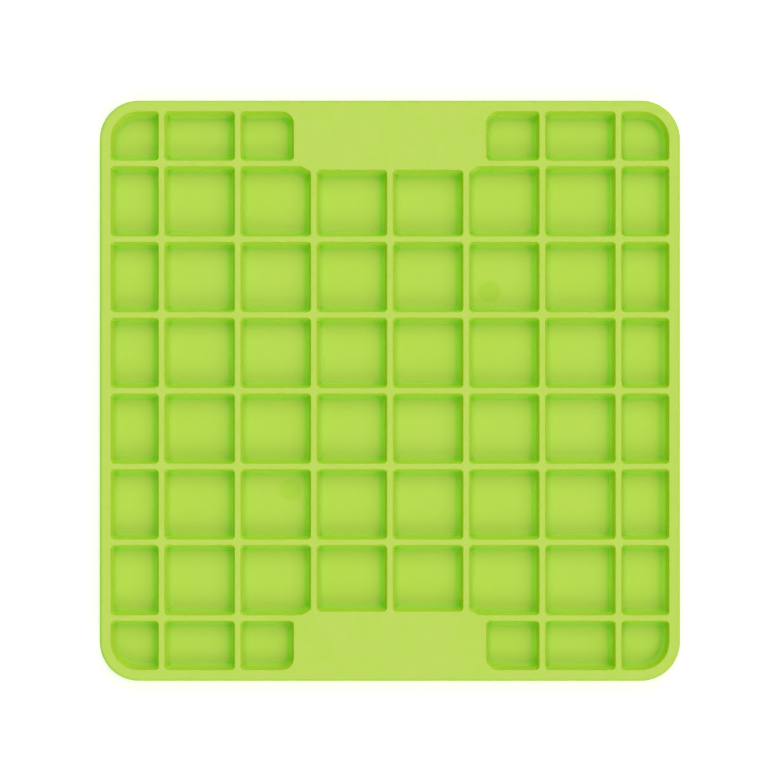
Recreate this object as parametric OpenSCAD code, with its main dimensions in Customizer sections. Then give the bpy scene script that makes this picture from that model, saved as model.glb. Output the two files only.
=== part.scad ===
// Lick mat: a square slab of soft rubber with an eight by eight grid of open pockets,
// and a plain plate in the middle of two opposite edges.
// It is moulded in one go, so its pieces here are the mat's features and meet face to face.
// The origin is under the middle of the mat, on the surface it lies on, with +Z up.

/* [Mat] */
// Length of each side of the mat
mat_side = 200; // [160:1:300]
// Height of the mat, from the underside to the top of the ribs
mat_t = 8; // [6:0.5:14]
// Thickness of the sheet under the pockets
base_t = 2.5; // [1.5:0.1:4]
// Radius of the mat's corners, seen from above
outer_corner_r = 13.5; // [10:0.5:20]
// Rounding of the outer edge at the top
top_edge_r = 1.3; // [0.5:0.1:2]
// Rounding of the outer edge at the underside
foot_edge_r = 0.6; // [0.3:0.1:1.2]

/* [Rim and ribs] */
// Width of the rim around the pockets
rim_w = 3.9; // [3:0.1:7]
// Width of a rib at the top of its walls
rib_w = 2.1; // [1.2:0.1:4]

/* [Pockets] */
// Width of the pockets along the left and right edges, at the top of their walls
edge_pocket_w = 16.4; // [13:0.1:20]
// Width of the pockets along the front and back edges, at the top of their walls
edge_pocket_l = 16.8; // [13:0.1:20]
// How far a pocket's wall leans inward from its top to its foot
wall_lean = 0.6; // [0.1:0.05:1]
// Fillet where a pocket's wall meets its floor
floor_fillet_r = 1.5; // [0.5:0.1:2.5]
// Rounding of the top edge of every rib and pocket
lip_r = 0.3; // [0.1:0.05:0.5]
// Radius of a pocket's corners, seen from above
pocket_corner_r = 1.3; // [0.5:0.1:3]
// Radius of the pocket corner between each plate and the rim
plate_side_corner_r = 4.2; // [2:0.1:6]

/* [Plates] */
// How far each end of a plate lies beyond the rib next to the middle one
plate_past_rib = 7; // [4:0.1:10]
// How far a plate reaches past the outermost rib's middle, towards the middle of the mat
plate_reach = 2.3; // [1.5:0.1:5]
// Length along the plate of the slope that trims the pocket corner beside it
plate_slope_w = 3.4; // [2:0.1:8]
// Length of that slope across the edge of the mat
plate_slope_l = 1.8; // [1:0.1:4]

/* [Moulding marks] */
// Diameter of the round marks on two pocket floors
mark_d = 8.5; // [4:0.5:10]
// Depth of a mark
mark_depth = 0.15; // [0.1:0.05:0.4]
// Gap between a mark and the foot of the ribs beside it
mark_gap = 0.8; // [0.3:0.1:4]

/* [Hidden] */
$fn = 48;
// Ribs each way, which gives eight rows and eight columns of pockets
ribs = 7;
middle_rib = (ribs + 1) / 2;
// Overrun of every cut past the solid it cuts
over = 0.5;
// How far the seams between the pieces lie past the fillets and corners of the pockets
seam_margin = 0.2;
// Flats in each quarter of an edge rounding or fillet
arc_steps = 5;
// How far the flats of a corner may stray from its arc
corner_slack = 0.03;
// Share of the way up a rib where crosswise ribs sit in lengthwise ones
lap_share = 0.5;

half = mat_side / 2;
// Inner face of the rim at its top, from the mat's middle lines
rim_in = half - rim_w;
rim_corner_r = outer_corner_r - rim_w;
// Distance between the middles of neighbouring ribs, lengthwise ones and crosswise ones
rib_step_x = 2 * (rim_in - edge_pocket_w - rib_w / 2) / (ribs - 1);
rib_step_y = 2 * (rim_in - edge_pocket_l - rib_w / 2) / (ribs - 1);
// Where the foot of a wall lies, from the wall's top
foot_in = wall_lean + floor_fillet_r;
// Where two pieces meet, from the top of the nearest wall, just past its fillet and corners
seam_in = max(foot_in, pocket_corner_r) + seam_margin;
// Half of the strip that holds a rib with the fillets and corners beside it
rib_reach = rib_w / 2 + seam_in;
// Where the rim's fillets end, and the middle of the mat begins
field = rim_in - seam_in;
field_corner_r = rim_corner_r - seam_in;
// The plates: half their length, their inner face, and how far they take up the middle
plate_x = rib_step_x + rib_w / 2 + plate_past_rib;
plate_y = (middle_rib - 1) * rib_step_y - plate_reach;
plate_field_x = plate_x + seam_in;
plate_field_y = plate_y - seam_in;
lap_z = base_t + (mat_t - base_t) * lap_share;
mark_middle = rib_w / 2 + foot_in + mark_gap + mark_d / 2;

// Distance of a rib from the mat's middle line, for ribs counted from 1
function rib_at(i, step) = (i - middle_rib) * step;

// The lowest and highest coordinate of a column or row of pockets past the middle rib
function span(k, step) = [
    rib_at(k - 1, step) + rib_w / 2,
    k == ribs + 1 ? rim_in : rib_at(k, step) - rib_w / 2
];

// A quarter arc of radius r about [x, z] that starts at angle a, anticlockwise where turn is 1
// and clockwise where it is -1
function quarter(x, z, r, a, turn) = [
    for (k = [0:arc_steps])
        let (b = a + turn * k * 90 / arc_steps)
        [x + r * cos(b), z + r * sin(b)]
];

// A pocket's wall as [inset, height], upward: floor fillet, leaning wall and rounded lip.
// It starts as far under the floor as depth says.
function pocket_wall(depth) = concat(
    depth > 0 ? [[foot_in, base_t - depth]] : [],
    quarter(foot_in, base_t + floor_fillet_r, floor_fillet_r, 270, -1),
    quarter(-lip_r, mat_t - lip_r, lip_r, 0, 1),
    [[-lip_r, mat_t + over]]
);

// The outer wall of the mat as [inset, height], upward, rounded at the foot and at the top
function outer_wall() = concat(
    quarter(foot_edge_r, foot_edge_r, foot_edge_r, 270, -1),
    quarter(top_edge_r, mat_t - top_edge_r, top_edge_r, 180, -1)
);

function reversed(list) = [for (k = [len(list) - 1:-1:0]) list[k]];

// Flats that stand for a quarter of a corner of radius r
function corner_steps(r) = ceil(90 / (2 * acos(1 - corner_slack / r)));

// A bar along Y, with its wall at the distance right on the side of +X and left on the other
module bar(right, left, wall, length) {
    rotate([90, 0, 0])
        linear_extrude(length, center = true)
            polygon(concat(
                [for (p = wall) [right - p.x, p.y]],
                reversed([for (p = wall) [p.x - left, p.y]])
            ));
}

// How far a flat at angle t of a quarter lies from the middle of a block with half sides a and b,
// where it touches a corner arc of radius r
function flat_reach(a, b, r, t) = (a - r) * cos(t) + (b - r) * sin(t) + r;

// A block between spans x and y with its wall all round, and a radius for each corner,
// counted anticlockwise from the one at the highest x and y.
// It is what bars at every angle of its corners have in common. A bar serves two opposite
// corners, and its side stays clear of the one that has no flat at that angle.
module walled_block(x, y, radii, wall) {
    a = (x[1] - x[0]) / 2;
    b = (y[1] - y[0]) / 2;
    length = 4 * (a + b);
    sides = [[0, a, a], [90, b, b]];
    corners = [
        for (k = [0, 1])
            let (
                steps = [corner_steps(radii[k]), corner_steps(radii[k + 2])],
                least = min(steps),
                times = ceil(max(steps) / least),
                first = k == 0 ? a : b,
                second = k == 0 ? b : a
            )
            for (step = [1:least * times - 1])
                let (t = 90 * step / (least * times), shared = step % times == 0)
                [
                    t + 90 * k,
                    shared || steps[0] > least ? flat_reach(first, second, radii[k], t) : length,
                    shared || steps[1] > least ? flat_reach(first, second, radii[k + 2], t) : length
                ]
    ];
    translate([x[0] + a, y[0] + b, 0])
        intersection_for(c = concat(sides, corners))
            rotate([0, 0, c[0]])
                bar(c[1], c[2], wall, length);
}

// The outline of a square about the mat's middle with rounded corners, between two heights
module rounded_square(reach, r, low, high) {
    steps = corner_steps(r);
    translate([0, 0, low])
        linear_extrude(high - low)
            polygon([
                for (k = [0:3], step = [0:steps])
                    let (
                        t = 90 * (k + step / steps),
                        centre = reach - r,
                        side_x = k == 0 || k == 3 ? 1 : -1,
                        side_y = k < 2 ? 1 : -1
                    )
                    [side_x * centre + r * cos(t), side_y * centre + r * sin(t)]
            ]);
}

// Everything on the mat's middle side of the slope that trims the pocket beside the back plate
// at its end towards +X
module slope_cut(wall) {
    x = rib_step_x + rib_w / 2;
    y = (middle_rib - 1) * rib_step_y - rib_w / 2 - plate_slope_l;
    far = 2 * (rib_step_x + rib_step_y);
    translate([x, y, 0])
        rotate([0, 0, atan2(plate_slope_l, plate_slope_w) + 90])
            bar(0, far, wall, 2 * far);
}

// The cutter for a pocket in the quarter of the mat with the highest x and y
module quarter_pocket(c, r, depth) {
    wall = pocket_wall(depth);
    x = span(c, rib_step_x);
    y = span(r, rib_step_y);
    last = ribs + 1;
    beside_plate = c == middle_rib + 2;
    before_plate = c == middle_rib + 1 && r == last - 1;
    walls_x = [beside_plate && r == last ? plate_x : x[0], x[1]];
    walls_y = [y[0], before_plate ? plate_y : y[1]];
    radii = [
        c == last && r == last ? rim_corner_r : pocket_corner_r,
        beside_plate && r == last ? plate_side_corner_r : pocket_corner_r,
        pocket_corner_r,
        pocket_corner_r
    ];
    if (beside_plate && r == last - 1)
        intersection() {
            walled_block(walls_x, walls_y, radii, wall);
            slope_cut(wall);
        }
    else
        walled_block(walls_x, walls_y, radii, wall);
}

// The cutter for the pocket in column c and row r, counted from the lowest x and y
module pocket(c, r, depth) {
    across = ribs + 2;
    mirror([c > middle_rib ? 0 : 1, 0, 0])
        mirror([0, r > middle_rib ? 0 : 1, 0])
            quarter_pocket(max(c, across - c), max(r, across - r), depth);
}

function is_plate(c, r) =
    (c == middle_rib || c == middle_rib + 1) && (r == 1 || r == ribs + 1);

// The cutters for a range of columns and rows, without the places that the plates take
module pockets(columns, rows, depth = over) {
    for (c = columns, r = rows)
        if (!is_plate(c, r))
            pocket(c, r, depth);
}

// A plain box between two corners
module span_box(low, high) {
    translate(low)
        cube(high - low);
}

// A square prism about the place where two ribs cross
module crossing(i, j, low, high) {
    translate([rib_at(i, rib_step_x), rib_at(j, rib_step_y), 0])
        span_box([-rib_reach, -rib_reach, low], [rib_reach, rib_reach, high]);
}

// The sheet under the pockets, with the two round marks left by the mould
module base_sheet() {
    color("yellowgreen")
        difference() {
            rounded_square(field, field_corner_r, 0, base_t);
            for (side = [1, -1])
                translate([
                    side * (rib_step_x + mark_middle),
                    side * (rib_step_y + mark_middle),
                    base_t - mark_depth
                ])
                    cylinder(h = mark_depth + over, d = mark_d);
        }
}

// The whole mat as a solid slab: two crossing bars and a round post in each corner
module slab() {
    centre = half - outer_corner_r;
    wall = outer_wall();
    post = concat(
        [[0, 0]],
        [for (p = wall) [outer_corner_r - p.x, p.y]],
        [[0, mat_t]]
    );
    for (turn = [0, 90])
        rotate([0, 0, turn])
            bar(half, half, wall, 2 * centre);
    for (x = [-centre, centre], y = [-centre, centre])
        translate([x, y, 0])
            rotate_extrude()
                polygon(post);
}

// The raised border, as high as the ribs, with the rounded outer edge of the mat
module rim() {
    last = ribs + 1;
    color("yellowgreen")
        difference() {
            slab();
            rounded_square(field, field_corner_r, -over, mat_t + over);
            // The rim holds a narrow strip of the pockets' floor, so the cuts stop level with it
            pockets([1:last], [1, last], 0);
            pockets([1, last], [2:last - 1], 0);
        }
}

// A plain plate level with the ribs, which fills the middle of one edge.
// It reaches out beside the rim as far as the large pocket corners at its ends go.
module plate(mirrored) {
    last = ribs + 1;
    ear_x = plate_x + plate_side_corner_r + seam_margin;
    ear_y = rim_in - plate_side_corner_r - seam_margin;
    color("yellowgreen")
        mirror([0, mirrored, 0])
            difference() {
                union() {
                    span_box(
                        [-plate_field_x, plate_field_y, base_t],
                        [plate_field_x, field, mat_t]
                    );
                    span_box([-ear_x, ear_y, base_t], [ear_x, field, mat_t]);
                }
                pockets([middle_rib - 1:middle_rib + 2], [last - 1:last]);
            }
}

// Every rib, lengthwise ones along Y, runs between the rim and the plates.
// Where two ribs cross, the lengthwise one has the lower part and the crosswise one the upper.
module long_rib(i) {
    x = rib_at(i, rib_step_x);
    end = abs(x) < plate_x ? plate_field_y : field;
    color("yellowgreen")
        difference() {
            span_box([x - rib_reach, -end, base_t], [x + rib_reach, end, mat_t]);
            pockets([i, i + 1], [1:ribs + 1]);
            for (j = [1:ribs])
                crossing(i, j, lap_z, mat_t + over);
        }
}

module cross_rib(j) {
    y = rib_at(j, rib_step_y);
    // The outermost ribs stop at the plates
    start = abs(y) < plate_y ? 0 : plate_field_x;
    color("yellowgreen")
        difference() {
            span_box([-field, y - rib_reach, base_t], [field, y + rib_reach, mat_t]);
            if (start > 0)
                span_box(
                    [-start, y - rib_reach - over, base_t - over],
                    [start, y + rib_reach + over, mat_t + over]
                );
            pockets([1:ribs + 1], [j, j + 1]);
            for (i = [1:ribs])
                crossing(i, j, base_t - over, lap_z);
        }
}

base_sheet();
rim();
plate(0);  // back_plate
plate(1);  // front_plate
for (i = [1:ribs]) long_rib(i);
for (j = [1:ribs]) cross_rib(j);
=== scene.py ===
"""Lick mat, the looks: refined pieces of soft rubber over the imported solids, and a plain studio.

Every piece stands for the CAD node of the same name. Lengths are in metres, and the sizes that the
frame can tell are read from it.
"""

import math

import bmesh
import bpy
from mathutils import Matrix, Vector


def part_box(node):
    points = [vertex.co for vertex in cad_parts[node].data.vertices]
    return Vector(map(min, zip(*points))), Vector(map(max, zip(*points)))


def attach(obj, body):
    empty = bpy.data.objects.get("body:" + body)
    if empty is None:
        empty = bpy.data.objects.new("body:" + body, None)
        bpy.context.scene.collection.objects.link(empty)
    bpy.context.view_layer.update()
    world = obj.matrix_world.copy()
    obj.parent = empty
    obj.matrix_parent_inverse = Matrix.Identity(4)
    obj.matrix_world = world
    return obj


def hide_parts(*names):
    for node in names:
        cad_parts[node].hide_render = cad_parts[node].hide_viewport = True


MM = 0.001

# Sizes that the boxes of the nodes don't tell
RIM_W = 3.9 * MM
RIB_W = 2.1 * MM
OUTER_CORNER_R = 13.5 * MM
TOP_EDGE_R = 1.3 * MM
FOOT_EDGE_R = 0.6 * MM
WALL_LEAN = 0.6 * MM
FLOOR_FILLET_R = 1.5 * MM
LIP_R = 0.3 * MM
POCKET_CORNER_R = 1.3 * MM
PLATE_SIDE_CORNER_R = 4.2 * MM
PLATE_SLOPE_W = 3.4 * MM
PLATE_SLOPE_L = 1.8 * MM
MARK_D = 8.5 * MM
MARK_DEPTH = 0.15 * MM
MARK_GAP = 0.8 * MM
# How far a mark's edge slopes in, as a share of its diameter
MARK_SLOPE_SHARE = 0.12
# How far the end of a plate goes past the large pocket corner beside it
SEAM_MARGIN = 0.2 * MM
# How much of the ribs' height is the lengthwise rib's where two cross
LAP_SHARE = 0.5
# Overrun of every cut past what it cuts
OVER = 0.5 * MM
# The tightest corner that the mould has, seen from above
LEAST_CORNER_R = 0.3 * MM

# Steps in a lip, in a floor fillet or a rounding of the outer edge, in a corner of a pocket, and
# in a corner of the mat or a quarter of a mark
LIP_STEPS = 5
FILLET_STEPS = 8
CORNER_STEPS = 8
OUTER_STEPS = 24
# Faces that meet at more than this angle keep a crisp edge between them
CRISP_ANGLE = math.radians(40)


class Mat:
    """The places and sizes of the mat's features, read from the boxes of the nodes."""

    def __init__(self, nodes):
        rim_low, rim_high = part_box("rim")
        sheet_low, sheet_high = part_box("base_sheet")
        plate_low, plate_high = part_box("back_plate")
        self.half = (rim_high.x - rim_low.x) / 2
        self.top = rim_high.z
        self.base = sheet_high.z
        self.field = (sheet_high.x - sheet_low.x) / 2
        self.ribs_x = self.middles(nodes, "long_rib_", 0)
        self.ribs_y = self.middles(nodes, "cross_rib_", 1)
        self.ribs = len(self.ribs_x)
        self.middle = (self.ribs + 1) // 2
        self.rim_in = self.half - RIM_W
        # How far rim, ribs and plates go past the tops of their walls, to hold the fillets below
        self.seam_in = self.rim_in - self.field
        self.reach = RIB_W / 2 + self.seam_in
        # The ends of a plate go out beside the rim, to hold the large corners of the pockets there
        self.ear_x = (plate_high.x - plate_low.x) / 2
        self.ear_y = self.rim_in - PLATE_SIDE_CORNER_R - SEAM_MARGIN
        self.plate_x = self.ear_x - PLATE_SIDE_CORNER_R - SEAM_MARGIN
        self.plate_y = plate_low.y + self.seam_in
        self.plate_field_x = self.plate_x + self.seam_in
        self.plate_field_y = plate_low.y
        self.lap = self.base + (self.top - self.base) * LAP_SHARE

    @staticmethod
    def middles(nodes, prefix, axis):
        """The middles of the ribs of one kind along an axis, counted from the first."""
        names = sorted(n for n in nodes if n.startswith(prefix))
        return [sum(corner[axis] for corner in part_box(n)) / 2 for n in names]


def quarter(x, z, r, start, turn, steps):
    """A quarter arc in a wall's profile, from an angle in degrees, turned one way or the other."""
    angles = [math.radians(start + turn * k * 90 / steps) for k in range(steps + 1)]
    return [(x + r * math.cos(a), z + r * math.sin(a)) for a in angles]


def pocket_wall(mat, depth):
    """A pocket's wall as (inset, height), upward: fillet, leaning wall and rounded lip.

    It starts as far under the floor as the depth says.
    """
    foot = WALL_LEAN + FLOOR_FILLET_R
    start = [(foot, mat.base - depth)] if depth else []
    fillet = quarter(foot, mat.base + FLOOR_FILLET_R, FLOOR_FILLET_R, 270, -1, FILLET_STEPS)
    lip = quarter(-LIP_R, mat.top - LIP_R, LIP_R, 0, 1, LIP_STEPS)
    return start + fillet + lip + [(-LIP_R, mat.top + OVER)]


def outer_wall(mat):
    """The mat's outer wall as (inset, height), upward, rounded at the foot and at the top."""
    foot = quarter(FOOT_EDGE_R, FOOT_EDGE_R, FOOT_EDGE_R, 270, -1, FILLET_STEPS)
    top = quarter(TOP_EDGE_R, mat.top - TOP_EDGE_R, TOP_EDGE_R, 180, -1, FILLET_STEPS)
    return foot + top


def plain_wall(low, high):
    return [(0, low), (0, high)]


def inset_corners(corners, inset):
    """The corners of a convex outline, counted anticlockwise, with its sides moved inward."""
    count = len(corners)
    sides = []
    for k in range(count):
        a, b = Vector(corners[k]), Vector(corners[(k + 1) % count])
        along = (b - a).normalized()
        inward = Vector((-along.y, along.x))
        sides.append((a + inward * inset, along))
    moved = []
    for k in range(count):
        (a, u), (b, v) = sides[k - 1], sides[k]
        share = (b - a).cross(v) / u.cross(v)
        moved.append((a + u * share, u, v))
    return moved


def outline(corners, radii, inset, steps):
    """The points of a rounded convex outline, moved inward. A corner's arc shrinks with it."""
    points = []
    for (corner, before, after), r in zip(inset_corners(corners, inset), radii):
        arc_r = max(r - inset, LEAST_CORNER_R)
        turn = math.atan2(before.cross(after), before.dot(after))
        first = math.atan2(-before.x, before.y)
        middle = corner + (after - before).normalized() * arc_r / math.cos(turn / 2)
        for k in range(steps + 1):
            a = first + turn * k / steps
            points.append(middle + Vector((math.cos(a), math.sin(a))) * arc_r)
    return points


def new_object(name, shape):
    """Makes an object of a bmesh, which is used up."""
    bmesh.ops.recalc_face_normals(shape, faces=shape.faces)
    mesh = bpy.data.meshes.new(name)
    shape.to_mesh(mesh)
    shape.free()
    made = bpy.data.objects.new(name, mesh)
    bpy.context.scene.collection.objects.link(made)
    return made


def add_block(shape, levels):
    """Adds a closed block to a bmesh, from the points of its outline at every height."""
    rings = [[shape.verts.new(point) for point in level] for level in levels]
    for low, high in zip(rings, rings[1:]):
        count = len(low)
        for k in range(count):
            n = (k + 1) % count
            shape.faces.new((low[k], low[n], high[n], high[k]))
    shape.faces.new(list(reversed(rings[0])))
    shape.faces.new(rings[-1])


def add_loft(shape, corners, radii, wall, steps):
    """Adds a block whose outline moves inward as its wall says at every height."""
    add_block(shape, [
        [(p.x, p.y, z) for p in outline(corners, radii, inset, steps)]
        for inset, z in wall
    ])


def add_box(shape, low, high):
    """Adds a plain box between two corners to a bmesh."""
    size = Vector(high) - Vector(low)
    place = Matrix.Translation((Vector(low) + Vector(high)) / 2) @ Matrix.Diagonal((*size, 1))
    bmesh.ops.create_cube(shape, size=1, matrix=place)


def rectangle(x, y):
    """The corners between two x and two y, anticlockwise from the highest of both."""
    return [(x[1], y[1]), (x[0], y[1]), (x[0], y[0]), (x[1], y[0])]


def square(reach):
    return rectangle((-reach, reach), (-reach, reach))


def span(k, ribs, far):
    """The lowest and highest coordinate of a column or row of pockets past the middle rib."""
    low = ribs[k - 2] + RIB_W / 2
    return low, (far if k > len(ribs) else ribs[k - 1] - RIB_W / 2)


def quarter_pocket(mat, column, row):
    """A pocket's corners and their radii, in the quarter of the mat with the highest x and y."""
    x0, x1 = span(column, mat.ribs_x, mat.rim_in)
    y0, y1 = span(row, mat.ribs_y, mat.rim_in)
    last = mat.ribs + 1
    beside_plate = column == mat.middle + 2
    radii = [POCKET_CORNER_R] * 4
    if column == last and row == last:
        radii[0] = OUTER_CORNER_R - RIM_W
    if beside_plate and row == last:
        x0 = mat.plate_x
        radii[1] = PLATE_SIDE_CORNER_R
    if column == mat.middle + 1 and row == last - 1:
        y1 = mat.plate_y
    corners = rectangle((x0, x1), (y0, y1))
    if beside_plate and row == last - 1:
        corners[1:2] = [(x0 + PLATE_SLOPE_W, y1), (x0, y1 - PLATE_SLOPE_L)]
        radii.append(POCKET_CORNER_R)
    return corners, radii


def mirrored(corners, radii, flip_x, flip_y):
    """An outline mirrored across the mat's middle lines, still counted anticlockwise."""
    corners = [(-x if flip_x else x, -y if flip_y else y) for x, y in corners]
    if flip_x != flip_y:
        return corners[::-1], radii[::-1]
    return corners, radii


def make_pockets(mat, depth):
    """One cutter that holds every pocket of the mat, down to a depth under the floor."""
    shape = bmesh.new()
    last = mat.ribs + 1
    plate_columns = (mat.middle, mat.middle + 1)
    for column in range(1, last + 1):
        for row in range(1, last + 1):
            if column in plate_columns and row in (1, last):
                continue
            found = quarter_pocket(
                mat, max(column, last + 1 - column), max(row, last + 1 - row)
            )
            corners, radii = mirrored(*found, column <= mat.middle, row <= mat.middle)
            add_loft(shape, corners, radii, pocket_wall(mat, depth), CORNER_STEPS)
    return new_object("pockets", shape)


def cut(target, cutter):
    """Takes a closed shape out of another for good."""
    step = target.modifiers.new("cut", "BOOLEAN")
    step.operation = "DIFFERENCE"
    step.solver = "MANIFOLD"
    step.object = cutter
    bpy.context.view_layer.update()
    result = bpy.data.meshes.new_from_object(
        target.evaluated_get(bpy.context.evaluated_depsgraph_get())
    )
    target.modifiers.clear()
    old = target.data
    target.data = result
    bpy.data.meshes.remove(old)


def discard(made):
    mesh = made.data
    bpy.data.objects.remove(made)
    bpy.data.meshes.remove(mesh)


def take_out(made, name, shape):
    """Takes a bmesh out of an object for good. The bmesh is used up."""
    cutter = new_object(name, shape)
    cut(made, cutter)
    discard(cutter)


def mark_places(mat):
    """The middles of the two round marks, on the floors next to the mat's middle pockets."""
    out = RIB_W / 2 + WALL_LEAN + FLOOR_FILLET_R + MARK_GAP + MARK_D / 2
    place = Vector((mat.ribs_x[mat.middle] + out, mat.ribs_y[mat.middle] + out))
    return [place, -place]


def add_field(mat, shape, low, high):
    """Adds the block inside the rim, between two heights, to a bmesh."""
    corners = [OUTER_CORNER_R - RIM_W - mat.seam_in] * 4
    add_loft(shape, square(mat.field), corners, plain_wall(low, high), OUTER_STEPS)


def base_sheet(mat, name):
    """The sheet under the pockets, with the two shallow round marks left by the mould."""
    shape = bmesh.new()
    add_field(mat, shape, 0, mat.base)
    made = new_object(name, shape)
    marks = bmesh.new()
    wall = [
        (MARK_D * MARK_SLOPE_SHARE, mat.base - MARK_DEPTH),
        (0, mat.base),
        (0, mat.base + OVER),
    ]
    for x, y in mark_places(mat):
        box = rectangle((x - MARK_D / 2, x + MARK_D / 2), (y - MARK_D / 2, y + MARK_D / 2))
        add_loft(marks, box, [MARK_D / 2] * 4, wall, OUTER_STEPS)
    take_out(made, "marks", marks)
    return made


def rim(mat, name):
    """The raised border with the mat's rounded outer edge."""
    shape = bmesh.new()
    add_loft(shape, square(mat.half), [OUTER_CORNER_R] * 4, outer_wall(mat), OUTER_STEPS)
    made = new_object(name, shape)
    hole = bmesh.new()
    add_field(mat, hole, -OVER, mat.top + OVER)
    take_out(made, "hole", hole)
    return made


def plate(mat, name):
    """A plain plate level with the ribs, which fills the middle of one edge.

    It reaches out beside the rim as far as the large pocket corners at its ends go.
    """
    side = 1 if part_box(name)[0].y > 0 else -1
    right = [
        (mat.plate_field_x, side * mat.plate_field_y),
        (mat.plate_field_x, side * mat.ear_y),
        (mat.ear_x, side * mat.ear_y),
        (mat.ear_x, side * mat.field),
    ]
    points = right + [(-x, y) for x, y in reversed(right)]
    shape = bmesh.new()
    add_block(shape, [[(x, y, z) for x, y in points] for z in (mat.base, mat.top)])
    return new_object(name, shape)


def notched_bar(mat, name, axis, crossings, low, high):
    """A rib along an axis, with the crossings taken out between two heights."""
    start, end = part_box(name)
    other = 1 - axis
    stops = [(start[axis], end[axis])]
    # A plate interrupts the first crosswise rib and the last
    if axis == 0 and abs(start[1] + end[1]) / 2 > mat.plate_field_y - mat.reach:
        stops = [(start[0], -mat.plate_field_x), (mat.plate_field_x, end[0])]
    shape = bmesh.new()
    for first, last in stops:
        corners = [Vector(start), Vector(end)]
        corners[0][axis], corners[1][axis] = first, last
        add_box(shape, *corners)
    made = new_object(name, shape)
    gaps = bmesh.new()
    for middle in crossings:
        corners = [Vector(start), Vector(end)]
        corners[0][axis], corners[1][axis] = middle - mat.reach, middle + mat.reach
        corners[0][other] -= OVER
        corners[1][other] += OVER
        corners[0].z, corners[1].z = low, high
        add_box(gaps, *corners)
    take_out(made, "gaps", gaps)
    return made


def long_rib(mat, name):
    """A rib along y. It has the lower part of every crossing."""
    low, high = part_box(name)
    crossings = [y for y in mat.ribs_y if low.y < y < high.y]
    return notched_bar(mat, name, 1, crossings, mat.lap, mat.top + OVER)


def cross_rib(mat, name):
    """A rib along x. It has the upper part of every crossing."""
    return notched_bar(mat, name, 0, mat.ribs_x, mat.base - OVER, mat.lap)


MAKERS = {
    "base_sheet": base_sheet,
    "rim": rim,
    "back_plate": plate,
    "front_plate": plate,
    "long_rib": long_rib,
    "cross_rib": cross_rib,
}


def soften(made):
    """Shades the lips and fillets smooth, and keeps flat faces flat up to their edges."""
    shape = bmesh.new()
    shape.from_mesh(made.data)
    for face in shape.faces:
        face.smooth = True
    for edge in shape.edges:
        edge.smooth = len(edge.link_faces) == 2 and edge.calc_face_angle(0) < CRISP_ANGLE
    shape.to_mesh(made.data)
    shape.free()
    weighted = made.modifiers.new("flat faces stay flat", "WEIGHTED_NORMAL")
    weighted.keep_sharp = True


def make_pieces(nodes, mat, rubber):
    """Replaces every node with a refined piece of the same name."""
    through = make_pockets(mat, OVER)
    # The rim holds a narrow strip of the floor, so its cuts stop level with it
    level = make_pockets(mat, 0)
    for name in sorted(nodes):
        kind = name.rstrip("0123456789").rstrip("_") if "rib" in name else name
        nodes[name].name = name + "_solid"
        made = MAKERS[kind](mat, name)
        # The pockets end on the sheet's top
        if name != "base_sheet":
            cut(made, level if name == "rim" else through)
        made.name = name
        made.data.materials.clear()
        made.data.materials.append(rubber)
        soften(made)
        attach(made, "root")
        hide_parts(name)
    discard(through)
    discard(level)


# Rubber
BASE_COLOUR = (0.478, 0.685, 0.084)
DEEP_COLOUR = (0.455, 0.673, 0.060)
# Paler tone of the tops, partly wear and partly painted sheen
WORN_AND_SHEEN_COLOUR = (0.515, 0.685, 0.118)
MARK_COLOUR = (0.418, 0.655, 0.046)
# Painted shade: the angles between floor and walls are painted a darker, greener tone where the
# shape closes in
PAINTED_CREASE_SHADE_COLOUR = (0.215, 0.645, 0.001)
# How far off a surface still closes in a place, and how open a place is where its colour turns
PAINTED_SHADE_REACH = 2.9 * MM
PAINTED_SHADE_OPENNESS = (0.50, 0.91)
PAINTED_SHADE_SAMPLES = 16
# Which way a place looks for light: up, and some way to the right and to the back, towards the
# lamps there, so the painted shade is deepest where walls stand between a place and those lamps
PAINTED_SHADE_LOOK = (0.52, 0.18, 0.83)
# Painted light and shade on the steep walls: they are painted paler, standing in for light passed
# through the thin ribs, and those that face left, away from the lamp on the right, are painted a
# deeper green as painted shade
PAINTED_WALL_LIGHT_COLOUR = (0.590, 0.800, 0.060)
PAINTED_WALL_SHADE_COLOUR = (0.380, 0.690, 0.004)
# How far up a normal points where a wall is fully steep, and where it counts as flat
WALL_NORMAL_Z = (0.15, 0.70)
# How far right a normal points where a wall fully faces left, and where none of it counts as such
PAINTED_WALL_SHADE_NORMAL_X = (-1, 0.7)
# Each noise: scale per metre, detail and roughness
CLOUD_NOISE = (22, 3, 0.55)
FLECK_NOISE = (1100, 2, 0.5)
WEAR_AND_SHEEN_NOISE = (180, 4, 0.6)
POLISH_NOISE = (60, 3, 0.5)
WAVE_NOISE = (75, 2, 0.5)
GRAIN_NOISE = (2600, 3, 0.6)
# The values of a noise between which it has its effect
NOISE_RANGE = (0.3, 0.7)
CLOUD_RANGE = (0.35, 0.65)
# How much of the base colour the clouds and the flecks bring in
CLOUD_SHARE = 0.5
FLECK_SHARE = 0.5
# How far down from the tops the wear and painted sheen reach, and how much of their paler colour
# the least and the most paled places take
WEAR_AND_SHEEN_DEPTH = 2 * LIP_R
WEAR_AND_SHEEN_SHARES = (0.25, 0.75)
ROUGHNESS = (0.44, 0.52)
# Each bump: strength and height
WAVE_BUMP = (0.5, 0.12 * MM)
GRAIN_BUMP = (0.35, 0.02 * MM)
IOR = 1.5
SPECULAR_LEVEL = 0.2

# The sockets of a mix node that hold colours have the same names as others, so they are counted
MIX_FACTOR = 0
MIX_COLOURS = (6, 7)
MIX_RESULT = 2


def node(tree, kind, x, y, **settings):
    """Adds a node to a tree. Its x and y only place it in the node editor."""
    made = tree.nodes.new(kind)
    made.location = (x, y)
    for key, value in settings.items():
        setattr(made, key, value)
    return made


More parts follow.
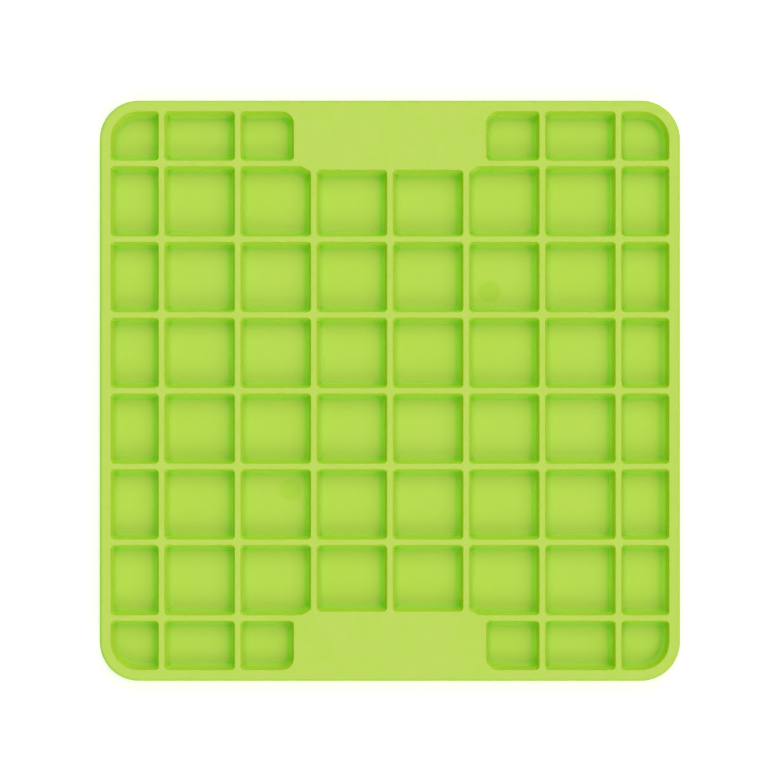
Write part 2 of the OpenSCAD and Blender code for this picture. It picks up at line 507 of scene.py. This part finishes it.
def noise(tree, place, x, y, scale, detail, roughness):
    made = node(tree, "ShaderNodeTexNoise", x, y)
    made.inputs["Scale"].default_value = scale
    made.inputs["Detail"].default_value = detail
    made.inputs["Roughness"].default_value = roughness
    tree.links.new(place, made.inputs["Vector"])
    return made.outputs["Fac"]


def map_range(tree, value, x, y, low, high, to_low, to_high):
    made = node(tree, "ShaderNodeMapRange", x, y)
    made.inputs["From Min"].default_value = low
    made.inputs["From Max"].default_value = high
    made.inputs["To Min"].default_value = to_low
    made.inputs["To Max"].default_value = to_high
    tree.links.new(value, made.inputs["Value"])
    return made.outputs["Result"]


def mix_colour(tree, factor, first, second, x, y):
    """Mixes two colours, each either a tuple or the output of a node."""
    made = node(tree, "ShaderNodeMix", x, y, data_type="RGBA")
    for k, colour in zip(MIX_COLOURS, (first, second)):
        if isinstance(colour, tuple):
            made.inputs[k].default_value = (*colour, 1)
        else:
            tree.links.new(colour, made.inputs[k])
    tree.links.new(factor, made.inputs[MIX_FACTOR])
    return made.outputs[MIX_RESULT]


def bump(tree, height, x, y, strength, distance):
    made = node(tree, "ShaderNodeBump", x, y)
    made.inputs["Strength"].default_value = strength
    made.inputs["Distance"].default_value = distance
    tree.links.new(height, made.inputs["Height"])
    return made


def body_colour(tree, place):
    """The rubber's own green, with faint clouds and fine flecks."""
    cloud = noise(tree, place, -1150, 300, *CLOUD_NOISE)
    fleck = noise(tree, place, -1150, 60, *FLECK_NOISE)
    clouded = map_range(tree, cloud, -900, 300, *CLOUD_RANGE, 0, 1)
    flecked = map_range(tree, fleck, -900, 60, *NOISE_RANGE, 0, FLECK_SHARE)
    both = node(tree, "ShaderNodeMath", -700, 200, operation="MULTIPLY_ADD")
    tree.links.new(clouded, both.inputs[0])
    both.inputs[1].default_value = CLOUD_SHARE
    tree.links.new(flecked, both.inputs[2])
    return mix_colour(tree, both.outputs[0], DEEP_COLOUR, BASE_COLOUR, -500, 200)


def with_wear_and_sheen(tree, place, top, colour):
    """A colour that turns unevenly paler at the tops of the rim, ribs and plates: wear and painted
    sheen.
    """
    split = node(tree, "ShaderNodeSeparateXYZ", -1150, -200)
    tree.links.new(place, split.inputs[0])
    near_top = map_range(tree, split.outputs["Z"], -900, -200, top - WEAR_AND_SHEEN_DEPTH, top, 0, 1)
    patchiness = noise(tree, place, -1150, -420, *WEAR_AND_SHEEN_NOISE)
    share = map_range(tree, patchiness, -900, -420, *NOISE_RANGE, *WEAR_AND_SHEEN_SHARES)
    wear_and_sheen = node(tree, "ShaderNodeMath", -700, -300, operation="MULTIPLY")
    tree.links.new(near_top, wear_and_sheen.inputs[0])
    tree.links.new(share, wear_and_sheen.inputs[1])
    return mix_colour(tree, wear_and_sheen.outputs[0], colour, WORN_AND_SHEEN_COLOUR, -300, 100)


def mark_mask(tree, place, middle, y):
    """How much of a round mark lies at a place: 1 within it, 0 outside, soft between."""
    away = node(tree, "ShaderNodeVectorMath", -900, y, operation="DISTANCE")
    away.inputs[1].default_value = middle
    tree.links.new(place, away.inputs[0])
    inner = MARK_D / 2 * (1 - 2 * MARK_SLOPE_SHARE)
    return map_range(tree, away.outputs["Value"], -700, y, inner, MARK_D / 2, 1, 0)


def with_marks(tree, place, mat, colour):
    """A colour that turns to the marks' own tone in the two round marks."""
    for k, middle in enumerate(mark_places(mat)):
        spot = mark_mask(tree, place, (*middle, mat.base), 600 + 250 * k)
        colour = mix_colour(tree, spot, colour, MARK_COLOUR, -300, 350 + 250 * k)
    return colour


def with_painted_crease_shade(tree, colour):
    """A colour painted darker and greener where the shape closes in a place: painted shade."""
    look = node(tree, "ShaderNodeVectorMath", -1150, -1320, operation="NORMALIZE")
    look.inputs[0].default_value = PAINTED_SHADE_LOOK
    openness = node(tree, "ShaderNodeAmbientOcclusion", -900, -1320, samples=PAINTED_SHADE_SAMPLES)
    openness.inputs["Distance"].default_value = PAINTED_SHADE_REACH
    tree.links.new(look.outputs["Vector"], openness.inputs["Normal"])
    painted_shade = map_range(tree, openness.outputs["AO"], -700, -1320, *PAINTED_SHADE_OPENNESS, 1, 0)
    return mix_colour(tree, painted_shade, colour, PAINTED_CREASE_SHADE_COLOUR, -100, 100)


def with_painted_wall_light_and_shade(tree, normal, colour):
    """A colour painted paler on steep walls, and deeper green on walls that face left: painted
    light and shade.
    """
    split = node(tree, "ShaderNodeSeparateXYZ", -1150, -1540)
    tree.links.new(normal, split.inputs[0])
    steep = map_range(tree, split.outputs["Z"], -900, -1540, *WALL_NORMAL_Z, 1, 0)
    far = map_range(tree, split.outputs["X"], -900, -1760, *PAINTED_WALL_SHADE_NORMAL_X, 1, 0)
    wall = mix_colour(tree, far, PAINTED_WALL_LIGHT_COLOUR, PAINTED_WALL_SHADE_COLOUR, -500, -1760)
    return mix_colour(tree, steep, colour, wall, 0, -100)


def relief(tree, place):
    """The normal of a surface that is slightly wavy and has a fine grain."""
    wave = noise(tree, place, -1150, -1100, *WAVE_NOISE)
    grain = noise(tree, place, -1150, -880, *GRAIN_NOISE)
    broad = bump(tree, wave, -700, -1100, *WAVE_BUMP)
    fine = bump(tree, grain, -500, -880, *GRAIN_BUMP)
    tree.links.new(broad.outputs["Normal"], fine.inputs["Normal"])
    return fine.outputs["Normal"]


def rubber_material(mat):
    """Soft satin rubber. Its tone turns with wear and painted sheen at the tops, and in the marks.

    It carries painted shade in closed angles, and painted light and shade on walls.
    """
    made = bpy.data.materials.new("mat_rubber")
    made.use_nodes = True
    tree = made.node_tree
    shader = tree.nodes["Principled BSDF"]
    coordinates = node(tree, "ShaderNodeTexCoord", -1400, 0)
    place = coordinates.outputs["Object"]
    colour = body_colour(tree, place)
    # Wear and painted sheen at the tops
    colour = with_wear_and_sheen(tree, place, mat.top, colour)
    colour = with_marks(tree, place, mat, colour)
    # Painted shade in the closed angles
    colour = with_painted_crease_shade(tree, colour)
    # Painted light and shade on the steep walls
    colour = with_painted_wall_light_and_shade(tree, coordinates.outputs["Normal"], colour)
    polish = noise(tree, place, -1150, -650, *POLISH_NOISE)
    rough = map_range(tree, polish, -900, -650, *NOISE_RANGE, *ROUGHNESS)
    tree.links.new(colour, shader.inputs["Base Color"])
    tree.links.new(rough, shader.inputs["Roughness"])
    tree.links.new(relief(tree, place), shader.inputs["Normal"])
    shader.inputs["IOR"].default_value = IOR
    shader.inputs["Specular IOR Level"].default_value = SPECULAR_LEVEL
    return made


# Studio
# What the photograph shows of the plane of the rib tops, from its left edge to its right one
VIEW_WIDTH = 268.5 * MM
# How far the view's middle lies from the mat's
VIEW_SHIFT_X = 0.03 * MM
VIEW_SHIFT_Y = 0.08 * MM
CAMERA_DISTANCE = 1.0
CAMERA_CLIP = (0.01, 50)
SENSOR_WIDTH = 36
FLOOR_REACH = 6
FLOOR_COLOUR = (0.86, 0.86, 0.86, 1)
FLOOR_ROUGHNESS = 0.9
# How much light the floor adds where it is seen
FLOOR_GLOW = 0.30
WHITE = (1, 1, 1, 1)
# How bright the white surroundings are as a light
WORLD_LEVEL = 0.515
# Each lamp: azimuth and elevation in degrees, distance and side in metres, and how bright it
# alone makes a white sheet
LAMPS = {
    "overhead": (165, 74, 1.2, 0.6, 0.065),
    "back": (90, 46, 2.4, 1.2, 0.20),
    "front": (270, 40, 2.4, 1.2, 0.175),
    "right": (0, 47, 4.0, 2.0, 0.11),
}


def add_camera(mat):
    """The photograph's view: straight down on the mat, from far enough to look flat."""
    data = bpy.data.cameras.new("camera")
    data.sensor_fit = "HORIZONTAL"
    data.sensor_width = SENSOR_WIDTH
    data.lens = SENSOR_WIDTH * CAMERA_DISTANCE / VIEW_WIDTH
    data.clip_start, data.clip_end = CAMERA_CLIP
    camera = bpy.data.objects.new("camera", data)
    camera.location = (VIEW_SHIFT_X, VIEW_SHIFT_Y, mat.top + CAMERA_DISTANCE)
    bpy.context.scene.collection.objects.link(camera)
    bpy.context.scene.camera = camera


def add_softbox(name, azimuth, elevation, distance, side, level):
    """A square lamp that faces the mat."""
    around, up = math.radians(azimuth), math.radians(elevation)
    out = math.cos(up)
    away = Vector((math.cos(around) * out, math.sin(around) * out, math.sin(up)))
    data = bpy.data.lights.new(name, "AREA")
    data.shape = "SQUARE"
    data.size = side
    data.energy = level * math.pi**2 * distance**2 / math.sin(up)
    lamp = bpy.data.objects.new(name, data)
    lamp.location = away * distance
    lamp.rotation_euler = away.to_track_quat("Z", "Y").to_euler()
    bpy.context.scene.collection.objects.link(lamp)


def where_seen(tree):
    """1 where the camera looks straight at a surface or sees it by reflection or through glass."""
    path = node(tree, "ShaderNodeLightPath", -800, 300)
    seen = path.outputs["Is Camera Ray"]
    for k, ray in enumerate(("Is Glossy Ray", "Is Transmission Ray")):
        either = node(tree, "ShaderNodeMath", -600 + 200 * k, 300, operation="MAXIMUM")
        tree.links.new(seen, either.inputs[0])
        tree.links.new(path.outputs[ray], either.inputs[1])
        seen = either.outputs[0]
    return seen


def add_floor():
    """A plain white floor, which keeps the mat's soft shadow."""
    shape = bmesh.new()
    bmesh.ops.create_grid(shape, x_segments=1, y_segments=1, size=FLOOR_REACH)
    floor = new_object("floor", shape)
    paper = bpy.data.materials.new("white_floor")
    paper.use_nodes = True
    tree = paper.node_tree
    glow = node(tree, "ShaderNodeMath", -200, 300, operation="MULTIPLY")
    tree.links.new(where_seen(tree), glow.inputs[0])
    glow.inputs[1].default_value = FLOOR_GLOW
    shader = tree.nodes["Principled BSDF"]
    shader.inputs["Base Color"].default_value = FLOOR_COLOUR
    shader.inputs["Roughness"].default_value = FLOOR_ROUGHNESS
    shader.inputs["Emission Color"].default_value = WHITE
    tree.links.new(glow.outputs[0], shader.inputs["Emission Strength"])
    floor.data.materials.append(paper)


def add_world():
    """White all round, brighter where the camera sees it than as a light."""
    world = bpy.data.worlds.new("studio")
    bpy.context.scene.world = world
    world.use_nodes = True
    tree = world.node_tree
    strength = map_range(tree, where_seen(tree), -200, 300, 0, 1, WORLD_LEVEL, 1)
    back = tree.nodes["Background"]
    back.inputs["Color"].default_value = WHITE
    tree.links.new(strength, back.inputs["Strength"])


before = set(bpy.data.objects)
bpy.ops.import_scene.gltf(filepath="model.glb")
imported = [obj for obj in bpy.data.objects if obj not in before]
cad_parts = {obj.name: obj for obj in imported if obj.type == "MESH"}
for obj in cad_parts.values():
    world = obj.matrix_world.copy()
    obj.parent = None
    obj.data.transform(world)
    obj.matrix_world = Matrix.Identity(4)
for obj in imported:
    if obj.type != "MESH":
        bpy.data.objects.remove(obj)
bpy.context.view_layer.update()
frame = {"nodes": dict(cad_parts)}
mat = Mat(frame["nodes"])
add_camera(mat)
make_pieces(frame["nodes"], mat, rubber_material(mat))
add_floor()
add_world()
for lamp_name, lamp_values in LAMPS.items():
    add_softbox(lamp_name, *lamp_values)
bpy.context.scene.view_settings.view_transform = "Standard"
